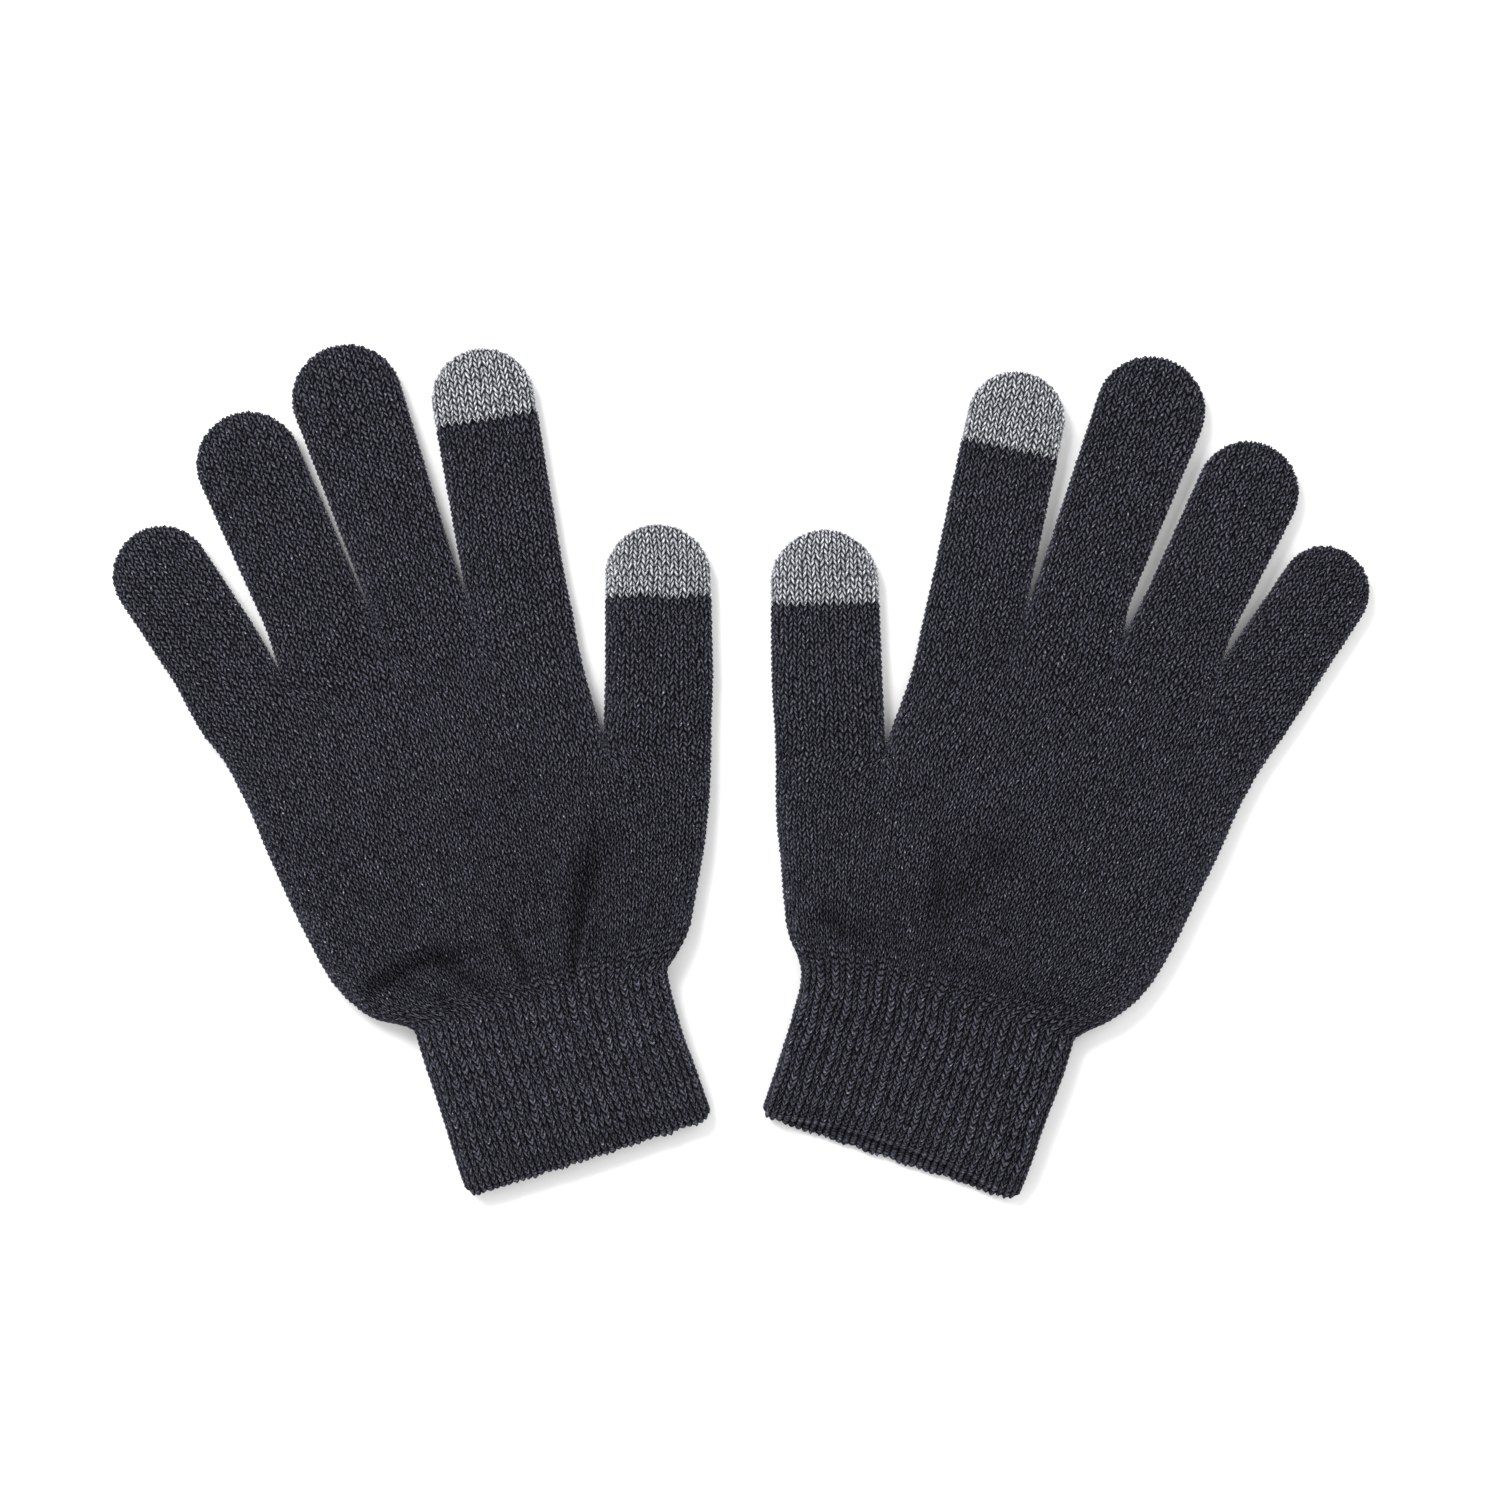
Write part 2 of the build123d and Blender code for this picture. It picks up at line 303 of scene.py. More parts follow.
class Glove:
    """One glove: its place and directions in the pair, its outlines and its cloth."""

    def __init__(self, name):
        self.name = name
        shape = HANDS[name]
        wrist = JOINTS[f"{name}_wrist_fold"]
        self.origin = np.array(wrist["pos_m"][:2])
        axis = np.array(wrist["axis"][:2])
        self.up = np.array([axis[1], -axis[0]]) / np.linalg.norm(axis)
        thumb = np.array(JOINTS[f"{name}_thumb_root_fold"]["pos_m"][:2]) - self.origin
        side = np.array([self.up[1], -self.up[0]])
        self.out = side if side @ thumb > 0 else -side
        self.mirrored = self.out[0] < 0
        for key in ("tilt", "hem_tilt", "open_mouth", "rib_depth", "trims", "folds"):
            setattr(self, key, shape[key])
        for key in ("little_side", "index_side", "thumb_side", "cuff_little", "cuff_thumb"):
            setattr(self, key, curve(shape[key]))
        self.roots = np.array(shape["roots"], float)
        self.crotch = np.array(shape["index_side"][4], float)
        self.thumb_end = np.array(shape["thumb_side"][-1], float)
        ends = [*zip(self.roots, self.roots[1:]), (self.crotch, self.thumb_end)]
        self.fingers = {n: Finger(self, n, e) for n, e in zip(STRIPS, ends)}
        self.cuff_length = shape["hem_drop"] - self.node_points(f"{name}_cuff_hem")[:, 1].min()
        self.seed = 11 if name == "left" else 29
        self.dents = Noise(self.seed, 38.0)
        self.sway = Noise(self.seed + 1, 16.0)
        self.rib_picks = random_picks(self.seed + 500)

    def local(self, point):
        """A point of the frame as out and up, in millimetres."""
        away = (np.array(point[:2]) - self.origin) / MM
        return np.array([away @ self.out, away @ self.up])

    def node_points(self, node):
        mesh = frame["nodes"][node].data
        points = np.empty(len(mesh.vertices) * 3)
        mesh.vertices.foreach_get("co", points)
        away = (points.reshape(-1, 3)[:, :2] - self.origin) / MM
        return np.stack([away @ self.out, away @ self.up], axis=-1)

    def world(self, out, up, z):
        flat = self.origin + (out[..., None] * self.out + up[..., None] * self.up) * MM
        return np.concatenate([flat, z[..., None] * MM], axis=-1)

    def point(self, *place):
        return tuple(self.world(*map(np.array, place)))

    def hand_surface(self, strip, xi, course):
        """Out, up and height share of the hand for one finger's share of it."""
        course = np.clip(course, 0.0, HAND_COURSES)
        crease = smooth((course - HAND_COURSES) / CREASE_COURSES + 1.0) ** 1.5
        thumb_crease = smooth((course - THUMB_COURSES) / THUMB_CREASE_COURSES + 1.0) ** 1.5
        half = self.half_height(strip, course)
        radius = half * (1.6 + 0.4 * smooth(course / FILL_COURSES))
        share = course / HAND_COURSES
        left_up = share * self.roots[0][1]
        right_up = np.interp(course, (0, THUMB_COURSES, HAND_COURSES),
                             (0, self.crotch[1], self.roots[4][1]))
        high_up = course / THUMB_COURSES * self.thumb_end[1]
        first, last = self.little_side(left_up), self.thumb_side(high_up)
        whole_xi = (WALES_BEFORE[strip] + xi * WALES[strip]) / ALL_WALES
        even_place, even_rise = across(whole_xi, last - first, radius, 1.0, 1.0)
        even = 1.0 - smooth(course / 9.0)
        if strip == "thumb":
            low, high = self.index_side(right_up), last
            place, rise = across(xi, high - low, radius, thumb_crease, 1.0)
            out = low + (high - low) * place
            up = right_up + (high_up - right_up) * place
        else:
            k = STRIPS.index(strip)
            left, right = first, self.index_side(right_up)
            top = (self.roots[:, 0] - self.roots[0, 0]) / (self.roots[4, 0] - self.roots[0, 0])
            grow = smooth(share)
            cut = [(j / 4) + (top[j] - j / 4) * grow for j in (k, k + 1)]
            low, high = left + (right - left) * cut[0], left + (right - left) * cut[1]
            left_weight = np.ones_like(course) if k == 0 else crease
            right_weight = crease if k < 3 else np.maximum(thumb_crease, course >= THUMB_COURSES)
            place, rise = across(xi, high - low, radius, left_weight, right_weight)
            out = low + (high - low) * place
            whole = (out - left) / (right - left)
            top_place = np.clip(top[k] + (top[k + 1] - top[k]) * place, 0, 1)
            top_up = self.roots[k, 1] + (self.roots[k + 1, 1] - self.roots[k, 1]) * place
            plain = self.roots[0, 1] + (self.roots[4, 1] - self.roots[0, 1]) * top_place
            up = left_up + (right_up - left_up) * whole + (top_up - plain) * share ** 1.3
        out = out + (first + (last - first) * even_place - out) * even
        rise = rise + (even_rise - rise) * even
        up = up + self.tilt * out * smooth(1.0 - course / 16.0)
        return out, up, rise

    def half_height(self, strip, course, xi=1.0):
        """Half the thickness of the tube: the cuff's at the wrist, then the hand's, then a finger's."""
        hand = CUFF_HALF + (HAND_HALF - CUFF_HALF) * smooth(course / FILL_COURSES)
        plain = hand + (FINGER_HALF - hand) * smooth((course - HAND_COURSES) / THIN_COURSES + 1.0)
        if strip != "thumb":
            return plain
        thumb = hand + (FINGER_HALF - hand) * smooth((course - THUMB_COURSES) / THIN_COURSES + 1.0)
        own = np.maximum(smooth(xi / 0.5), smooth((course - THUMB_COURSES) / THUMB_CREASE_COURSES + 1.0))
        return plain + (thumb - plain) * own

    def cloth(self, strip, xi, course, face):
        """Points of the cloth before its stitches, and where it is cut away; face is 1 above, -1 below."""
        top = TOP_COURSE[strip]
        out, up, rise = self.hand_surface(strip, xi, np.minimum(course, top))
        up = up + np.minimum(course, 0.0) * COURSE
        finger = self.fingers[strip]
        beyond = course > top
        f_out, f_up, f_rise, outside = finger.surface(xi, np.maximum(course - top, 0.0))
        out, up = np.where(beyond, f_out, out), np.where(beyond, f_up, up)
        rise = np.where(beyond, f_rise, rise)
        half = self.half_height(strip, np.clip(course, 0, top), xi) - YARN_DEPTH
        z = half + YARN_DEPTH + CLEAR + face * half * rise
        if face > 0:
            z = z + self.relief(out, up, rise, np.minimum(course, top))
        return np.stack([out, up, z], axis=-1), outside & beyond

    def relief(self, out, up, rise, course):
        """Folds and dents of the upper layer, fading out at the wrist line."""
        inside = smooth(rise * 1.6 - 0.5)
        lift = 0.34 * self.dents(out, up) + 0.10 * self.sway(out, up) - 0.1
        lift = lift + 1.0 * smooth(course / 13.0) * (1.0 - smooth((course - 26.0) / 34.0))
        gather = smooth(1.0 - course / 13.0) * smooth(course / 2.0)
        start = 0.4 if self.mirrored else 1.9
        pleats = np.sin(out * 0.80 + 2.0 * np.sin(out * 0.21 + up * 0.05) + start)
        lift = lift + gather * (0.50 * pleats - 0.25)
        for drop, wide, d, ends in self.at_folds(out, up):
            lift = lift - ends * drop * d / wide * np.exp(0.5 - 0.5 * (d / wide) ** 2)
        return lift * inside * smooth(course / 1.5)

    def at_folds(self, out, up):
        """For each fold its drop, half width, distance from its line and how far it has faded in."""
        for (x0, y0), (x1, y1), (wide0, wide1), (drop0, drop1), arch in self.folds:
            length = math.hypot(x1 - x0, y1 - y0)
            tx, ty = (x1 - x0) / length, (y1 - y0) / length
            s = (out - x0) * tx + (up - y0) * ty
            d = ((out - x0) * ty - (up - y0) * tx) * (-1 if self.mirrored else 1)
            bow = arch * length * (1.0 - (2.0 * s / length - 1.0) ** 2)
            share = np.clip(s / length, 0.0, 1.0)
            ends = smooth(s / (0.16 * length)) * smooth((length - s) / (0.42 * length))
            yield drop0 + (drop1 - drop0) * share, wide0 + (wide1 - wide0) * share, d + bow, ends

    def fold_shade(self, out, up):
        """Painted shade along the steep side of each fold, from 0 to 1: how much darker the yarn is painted
        there.
        """
        shade = np.zeros(np.shape(out))
        for drop, wide, d, ends in self.at_folds(out, up):
            steep = np.exp(-((d - 0.2 * wide) / (1.15 * wide)) ** 2)
            shade = shade + ends * np.minimum(drop, 1.2) * steep
        return np.clip(shade, 0.0, 1.0)


GLOVES = [Glove("left"), Glove("right")]


# ---- Meshes ----
def build_mesh(name, points, quads, stitch_uv, bake_uv, shade):
    """A mesh from world points and quads; coincident points are joined and flat faces dropped."""
    keys = np.round(points / 2e-6).astype(np.int64)
    _, first, back = np.unique(keys, axis=0, return_index=True, return_inverse=True)
    back = back.reshape(-1)
    corners = back[quads]
    same_next = corners == np.roll(corners, -1, axis=1)
    doubles = same_next.sum(axis=1)
    opposite = (corners[:, 0] == corners[:, 2]) | (corners[:, 1] == corners[:, 3])
    tri_rows = np.nonzero((doubles == 1) & ~opposite)[0]
    drop = np.argmax(same_next[tri_rows], axis=1)
    keep = np.array([[j for j in range(4) if j != d] for d in range(4)])
    tri_source = quads[tri_rows[:, None], keep[drop]]
    quad_source = quads[(doubles == 0) & ~opposite]
    loops = np.concatenate([quad_source.reshape(-1), tri_source.reshape(-1)])
    counts = np.concatenate([np.full(len(quad_source), 4), np.full(len(tri_source), 3)])
    starts = np.concatenate([[0], np.cumsum(counts)[:-1]])
    mesh = bpy.data.meshes.new(name)
    mesh.vertices.add(len(first))
    mesh.vertices.foreach_set("co", points[first].reshape(-1))
    mesh.loops.add(len(loops))
    mesh.loops.foreach_set("vertex_index", back[loops])
    mesh.polygons.add(len(counts))
    mesh.polygons.foreach_set("loop_start", starts)
    mesh.polygons.foreach_set("loop_total", counts)
    mesh.update(calc_edges=True)
    mesh.polygons.foreach_set("use_smooth", np.ones(len(counts), bool))
    for layer, values in (("stitch", stitch_uv), ("OFBake", bake_uv)):
        uv = mesh.uv_layers.new(name=layer)
        uv.uv.foreach_set("vector", values[loops].reshape(-1))
    attribute = mesh.attributes.new("yarn", "FLOAT_COLOR", "POINT")
    attribute.data.foreach_set("color", shade[first].reshape(-1))
    mesh.validate(clean_customdata=False)
    mesh.update()
    piece = bpy.data.objects.new(name, mesh)
    bpy.context.scene.collection.objects.link(piece)
    return piece


def stitch_grid(wales, first, last, wale_steps=WALE_STEPS, course_steps=COURSE_STEPS):
    """Grid of stitch coordinates: u in wales and v in courses, rows of v by columns of u."""
    u = np.arange(wales * wale_steps + 1) / wale_steps
    v = np.arange(int(round((last - first) * course_steps)) + 1) / course_steps + first
    return np.meshgrid(u, v)


def from_side(u, wales):
    """How far a point is from the nearer side of a strip, in wales."""
    return np.minimum(u, wales - u)


def vee(u):
    """How far a point of a stitch is shifted towards the tips: the legs meet low in the middle."""
    return V_RISE * (np.abs(2.0 * (u - np.floor(u)) - 1.0) - 0.5)


def yarn_height(u, v, picks, closed=0.0):
    """Height of the yarn above the grooves, 0 to 1, and a random number for each leg.

    In a closed rib the two legs of a stitch lie together and the deep grooves are those between wales.
    """
    leg = np.floor(np.round(u * 2.0, 6)).astype(int)
    row = np.floor(np.round(v, 6)).astype(int)
    a, b = u * 2.0 - leg, v - row
    pick = picks[(leg * 7919 + row * 104729) % len(picks)]
    body = 0.05 + 0.95 * np.abs(np.sin(math.pi * a)) ** 0.85
    wale = np.abs(np.sin(math.pi * u))
    body = body + (0.34 * body + 0.66 * wale - body) * closed
    along = 0.02 + 0.98 * np.abs(np.sin(math.pi * np.clip(b, 0, 1))) ** 1.15
    lean = 1.0 + 0.3 * (0.5 - b)
    return body * along * lean * (0.84 + 0.26 * pick), pick


def second_pick(pick):
    """Another random number of the same stitch, from -0.5 to 0.5."""
    return (pick * 7.3) % 1.0 - 0.5


def normals_of(cloth, strip, xi, course, face):
    """Outward unit normals of the cloth by small steps across and along."""
    step_x, step_v = 2e-4, 0.02
    xa, xb = np.clip(xi - step_x, 0, 1), np.clip(xi + step_x, 0, 1)
    va, vb = course - step_v, course + step_v
    across_step = cloth(strip, xb, course, face)[0] - cloth(strip, xa, course, face)[0]
    along_step = cloth(strip, xi, vb, face)[0] - cloth(strip, xi, va, face)[0]
    normal = np.cross(across_step, along_step) * face
    length = np.linalg.norm(normal, axis=-1, keepdims=True)
    flat = length < 1e-12
    return np.where(flat, np.array([0.0, 0.0, float(face)]), normal / np.maximum(length, 1e-12))


def make_patch(points, normal, u, v, tall, pick, face, outside=None, shade=None, shift=0):
    """One grid of cloth with its stitches, for join_patches; no point sinks below LOWEST."""
    points[..., 2] = np.maximum(points[..., 2], LOWEST)
    blank = np.zeros(u.shape)
    return dict(points=points, normal=normal, u=u, v=v, tall=tall, pick=pick, face=face, shift=shift,
                outside=blank > 0 if outside is None else outside,
                shade=blank if shade is None else shade)


def tube_patch(glove, strip, first, last, seed):
    """Upper and lower cloth of one strip between two courses, as grids of points and their stitches."""
    wales, index, before = WALES[strip], STRIPS.index(strip), WALES_BEFORE[strip]
    in_hand = first < 0
    picks = random_picks(seed)
    patches = []
    for face in (1, -1):
        u, v = stitch_grid(wales, first, last, WALE_STEPS if face > 0 else WALE_STEPS // 2)
        edge, glove_edge = from_side(u, wales), from_side(u + before, ALL_WALES)
        loose = smooth(edge)
        rib_u = (u + before) * CUFF_WALES / ALL_WALES
        ribbed = 1.0 - smooth(v / RIB_COURSES)
        drift = SWAY * glove.sway(u * 2.1 + 40 * face, v * COURSE + 9 * index)
        aside = SWAY_ASIDE * glove.sway(u * 2.1 + 90 * face, v * COURSE + 170 + 9 * index)
        rise = vee(u) + (vee(rib_u) - vee(u)) * ribbed
        course = v + rise + drift * loose * smooth(v / 2.0)
        rib_out = rib_warp(rib_u, face) * ALL_WALES / CUFF_WALES * ribbed
        xi = np.clip((u + aside * loose * (1.0 - ribbed) + rib_out) / wales, 0.0, 1.0)
        tall, pick = yarn_height(u, v + 0.5, picks)
        slack = loose * (1.0 - ribbed)
        course = course + STITCH_SLIP * (pick - 0.5) * slack
        xi = np.clip(xi + STITCH_SLIP_ASIDE * second_pick(pick) * slack / wales, 0.0, 1.0)
        cloth, outside = glove.cloth(strip, xi, course, face)
        normal = normals_of(glove.cloth, strip, xi, course, face)
        rib_tall, rib_pick = yarn_height(rib_u, v + 0.5 + CUFF_COURSES, glove.rib_picks, 1.0)
        ribs = rib(rib_u, face)
        tall = tall + (rib_tall * rib_rise_and_shade(glove, ribs) - tall) * ribbed
        pick = np.where(ribbed > 0.5, rib_pick, pick)
        lift = RELIEF * tall * np.clip(edge / 0.12 + (ribbed > 0) * smooth(glove_edge), 0.0, 1.0)
        lift = lift - glove.rib_depth * (1.0 - ribs) * ribbed * smooth(glove_edge / 0.9)
        lift = lift - 0.25 * smooth(v / START_COURSE)
        lift = np.where(outside, 0.35 * lift, lift)
        # painted fold shade, on the upper layer of the hand only
        shade = glove.fold_shade(cloth[..., 0], cloth[..., 1]) if face > 0 and in_hand else None
        patches.append(make_patch(cloth + normal * lift[..., None], normal, u, v, tall, pick, face,
                                  outside, shade, before if in_hand else 0))
    return patches


def stray_fibres(patch, rng, share):
    """Short curved fibres that stand out of the yarn: points, faces, and where each springs from."""
    flat = patch["points"].reshape(-1, 3)
    normal = patch["normal"].reshape(-1, 3)
    good = (patch["tall"].reshape(-1) > 0.45) & ~patch["outside"].reshape(-1) & (flat[:, 2] > 1.2)
    rows = np.nonzero(good)[0]
    rows = rng.choice(rows, int(len(rows) * share), replace=False)
    count = len(rows)
    base, up = flat[rows], normal[rows]
    side = np.cross(up, rng.normal(size=(count, 3)))
    side /= np.maximum(np.linalg.norm(side, axis=1, keepdims=True), 1e-9)
    third = np.cross(up, side)
    reach = rng.uniform(0.35, 1.25, (count, 1)) * (1.0 + 0.9 * (rng.random((count, 1)) > 0.93))
    sweep = rng.uniform(0.3, 1.3, (count, 1))
    thick = rng.uniform(0.035, 0.06, (count, 1))
    middle = base + up * reach * 0.45 + side * reach * 0.25 * sweep
    end = base + up * reach * 0.75 + side * reach * 0.85 * sweep
    corners = []
    for ring, size in ((base - up * 0.15, 1.0), (middle, 0.7)):
        for turn in (0.0, 2 * math.pi / 3, 4 * math.pi / 3):
            corners.append(ring + (side * math.cos(turn) * 0.7 + third * math.sin(turn)) * thick * size)
    corners.append(end)
    points = np.stack(corners, axis=1).reshape(-1, 3)
    points[:, 2] = np.maximum(points[:, 2], LOWEST)
    first = np.arange(count)[:, None] * 7
    quads = np.concatenate([first + np.array([k, (k + 1) % 3, 3 + (k + 1) % 3, 3 + k]) for k in range(3)])
    tips = np.concatenate([first + np.array([3 + k, 3 + (k + 1) % 3, 6, 6]) for k in range(3)])
    floor = first + np.array([0, 2, 1, 1])
    return points, np.concatenate([quads, tips, floor]), np.repeat(rows, 7)


def corners_of(grid):
    """The values at the four corners of every cell of a grid, in order round the cell."""
    return np.stack([grid[:-1, :-1], grid[:-1, 1:], grid[1:, 1:], grid[1:, :-1]], axis=-1)


def join_patches(name, glove, patches, columns, rows, fibre_share=FIBRE_SHARE):
    """Make one piece from patches; columns and rows give the size of the bake layout in stitches."""
    rng = np.random.default_rng(sum(map(ord, name)))
    points, quads, stitch, bake, shade = [], [], [], [], []
    count = 0
    for patch in patches:
        u, v, face, outside = patch["u"], patch["v"], patch["face"], patch["outside"]
        index = np.arange(u.size).reshape(u.shape) + count
        cells = corners_of(index)[~corners_of(outside).all(axis=-1)]
        quads.append(cells[:, ::-1] if (face > 0) == glove.mirrored else cells)
        place = np.stack([u.reshape(-1) + patch["shift"], v.reshape(-1)], axis=-1)
        layer = np.stack([place[:, 0] / columns, (place[:, 1] - rows[0]) / (rows[1] - rows[0]) * 0.49
                          + (0.0 if face > 0 else 0.505)], axis=-1) * 0.998 + 0.001
        # stored colour of each point: height of the yarn, which the material turns into painted groove
        # shade, a random number of its stitch, and the painted fold shade
        tone = np.stack([np.clip(patch["tall"], 0, 1), patch["pick"], patch["shade"], np.ones(u.shape)],
                        axis=-1).reshape(-1, 4)
        count += u.size
        points.append(patch["points"].reshape(-1, 3))
        stitch.append(place)
        bake.append(layer)
        shade.append(tone)
        if fibre_share:
            fibres, faces, source = stray_fibres(patch, rng, fibre_share)
            points.append(fibres)
            quads.append((faces[:, ::-1] if glove.mirrored else faces) + count)
            stitch.append(place[source])
            bake.append(layer[source])
            shade.append(np.tile([0.95, 0.9, 0.0, 1.0], (len(fibres), 1)))
            count += len(fibres)
    world = glove.world(*np.concatenate(points).T)
    return build_mesh(name, world, *map(np.concatenate, (quads, stitch, bake, shade)))


def finish_piece(piece, node, material, body=None):
    """Give a piece its material, hide the CAD node it stands for, and hang it on the body it rides where it
    rides one.
    """
    piece.data.materials.append(material)
    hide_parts(node)
    if body:
        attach(piece, body)


# ---- Materials ----
class Surface:
    """The nodes of one material; an input given as a socket is linked, any other is set."""

    def __init__(self, name, rough):
        self.material = bpy.data.materials.new(name)
        self.material.use_nodes = True
        self.tree = self.material.node_tree
        self.shader = self.tree.nodes["Principled BSDF"]
        self.fill(self.shader, {"Roughness": rough})
        self.place = self.add("TexCoord").outputs["Object"]

    def fill(self, node, inputs):
        for socket, value in inputs.items():
            if isinstance(value, bpy.types.NodeSocket):
                self.tree.links.new(value, node.inputs[socket])
            else:
                node.inputs[socket].default_value = value

    def add(self, kind, inputs=(), **settings):
        node = self.tree.nodes.new("ShaderNode" + kind)
        for setting, value in settings.items():
            setattr(node, setting, value)
        self.fill(node, dict(inputs))
        return node

    def noise(self, scale, detail, rough=0.5):
        return self.add("TexNoise", {"Scale": scale, "Detail": detail, "Roughness": rough,
                                     "Vector": self.place}).outputs["Fac"]

    def math(self, kind, a, b, clamp=False):
        return self.add("Math", {0: a, 1: b}, operation=kind, use_clamp=clamp).outputs[0]

    def stretch(self, value, low, high, to_low=0.0, to_high=1.0):
        return self.add("MapRange", {"Value": value, "From Min": low, "From Max": high,
                                     "To Min": to_low, "To Max": to_high}).outputs[0]

    def mix(self, factor, a, b):
        return self.add("Mix", {"Factor": factor, "A": a, "B": b}, data_type="RGBA").outputs["Result"]

    def finish(self, color, height, strength, depth):
        """Give the shader its colour and its bump."""
        bump = self.add("Bump", {"Strength": strength, "Distance": depth, "Height": height})
        self.fill(self.shader, {"Base Color": color, "Normal": bump.outputs[0]})
        return self.material


def knit_material(name, dark, light, glint, glint_share, groove_shade, sheen):
    """Spun yarn: painted shade in the grooves, fibres of several tones, soft sheen and a fine hairy bump.
    """
    yarn = Surface(name, 0.86)
    yarn.fill(yarn.shader, {"Specular IOR Level": 0.07, "Sheen Weight": sheen, "Sheen Roughness": 0.45,
                            "Sheen Tint": (0.75, 0.76, 0.85, 1)})
    stored = yarn.add("Attribute", attribute_name="yarn").outputs["Color"]
    # the third channel, closed, carries the painted fold shade
    tall, pick, closed = yarn.add("SeparateColor", {0: stored}).outputs
    fibre = yarn.noise(1500, 3, 0.75)
    speck = yarn.noise(1300, 2)
    cloud = yarn.noise(26, 3)
    # plies twisted round each leg of a stitch
    stitch = yarn.add("UVMap", uv_map="stitch").outputs[0]
    ply = yarn.add("TexWave", {"Scale": 1.15, "Distortion": 3.0, "Detail": 2.0, "Detail Scale": 3.0,
                               "Vector": stitch}, wave_type="BANDS", bands_direction="DIAGONAL")
    ply = ply.outputs["Fac"]

    tone = yarn.math("MULTIPLY", yarn.stretch(fibre, 0.42, 0.60), 0.74)
    for source, weight in ((pick, 0.11), (cloud, 0.10), (ply, 0.12)):
        tone = yarn.math("ADD", tone, yarn.math("MULTIPLY", source, weight))
    tone = yarn.math("SUBTRACT", tone, 0.04, clamp=True)
    color = yarn.mix(tone, (*dark, 1), (*light, 1))
    spark = yarn.stretch(speck, 1.0 - glint_share, 1.0 - glint_share + 0.12)
    color = yarn.mix(yarn.math("MULTIPLY", spark, tall), color, (*glint, 1))
    # painted shade in the grooves between stitches: the lower the yarn, the darker its colour, down to a
    # small share of it where the yarn is lowest
    depth = yarn.stretch(tall, 0.16, 0.92, groove_shade, 1.0)
    # painted fold shade: the colour is up to 56% darker along the steep side of a fold
    open_share = yarn.math("SUBTRACT", 1.0, yarn.math("MULTIPLY", closed, 0.56))
    shaded = yarn.add("VectorMath", {0: color, "Scale": yarn.math("MULTIPLY", depth, open_share)},
                      operation="SCALE")
    hairs = yarn.math("ADD", fibre, yarn.math("MULTIPLY", ply, 0.6))
    return yarn.finish(shaded.outputs[0], hairs, 0.9, 0.00016)


def plain_material(name, color, rough, scale, variation):
    """A smooth material with a slight grain."""
    plain = Surface(name, rough)
    grain = plain.noise(scale, 4)
    darker = [c * (1 - variation) for c in color]
    lighter = [min(1.0, c * (1 + variation)) for c in color]
    return plain.finish(plain.mix(grain, (*darker, 1), (*lighter, 1)), grain, 1.0, 0.00005)


INK = (0.003, 0.003, 0.004)
BLACK = knit_material("black_knit", INK, (0.146, 0.149, 0.196), (0.60, 0.60, 0.71), 0.36, 0.02, 0.05)
RIB = knit_material("black_rib_knit", INK, (0.168, 0.171, 0.225), (0.66, 0.66, 0.77), 0.36, 0.02, 0.05)
GREY = knit_material("grey_conductive_knit", (0.19, 0.198, 0.24), (0.93, 0.955, 1.0), (0.96, 0.97, 1.0),
                     0.45, 0.03, 0.08)
ELASTIC = plain_material("elastic_yarn", (0.022, 0.022, 0.027), 0.7, 900, 0.5)


# ---- Pieces of one glove ----
def palm_piece(glove):
    """The hand with the feet of its fingers."""
    patches = []
    for k, strip in enumerate(STRIPS):
        patches += tube_patch(glove, strip, START_COURSE, TOP_COURSE[strip], glove.seed * 10 + k)
    piece = join_patches(f"{glove.name}_palm_knit", glove, patches, ALL_WALES, (START_COURSE, HAND_COURSES))
    finish_piece(piece, f"{glove.name}_palm", BLACK, f"{glove.name}_palm")


def finger_pieces(glove, strip):
    """The lower and upper length of one finger, and its touch tip where it has one."""
    finger, top = glove.fingers[strip], TOP_COURSE[strip]
    seed = glove.seed * 10 + STRIPS.index(strip)
    key = f"{glove.name}_{strip}"

    (before, after), (mid_before, mid_after) = THUMB_BENDS if strip == "thumb" else FINGER_BENDS
    split = top + int(round(finger.course_at((after + finger.middle - mid_before) / 2)))
    end = top + finger.courses + 2
    touch = top + int(round(finger.course_at(finger.touch))) if finger.touch else end
    spans = [("lower", top, split, BLACK, "plain_knit"), ("upper", split, touch, BLACK, "plain_knit")]
    if finger.touch:
        spans.append(("touch_tip", touch, end, GREY, "conductive_knit"))
    palm, lower, upper = f"{glove.name}_palm", f"{key}_lower", f"{key}_upper"
    for part, *span, material, slot in spans:
        patches = tube_patch(glove, strip, *span, seed)
        piece = join_patches(f"{key}_{part}_knit", glove, patches, WALES[strip], span)
        finish_piece(piece, f"{key}_{part}", material, upper if part == "touch_tip" else None)
        if part == "lower":
            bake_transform(piece)
        elif part == "upper":
            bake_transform(piece)


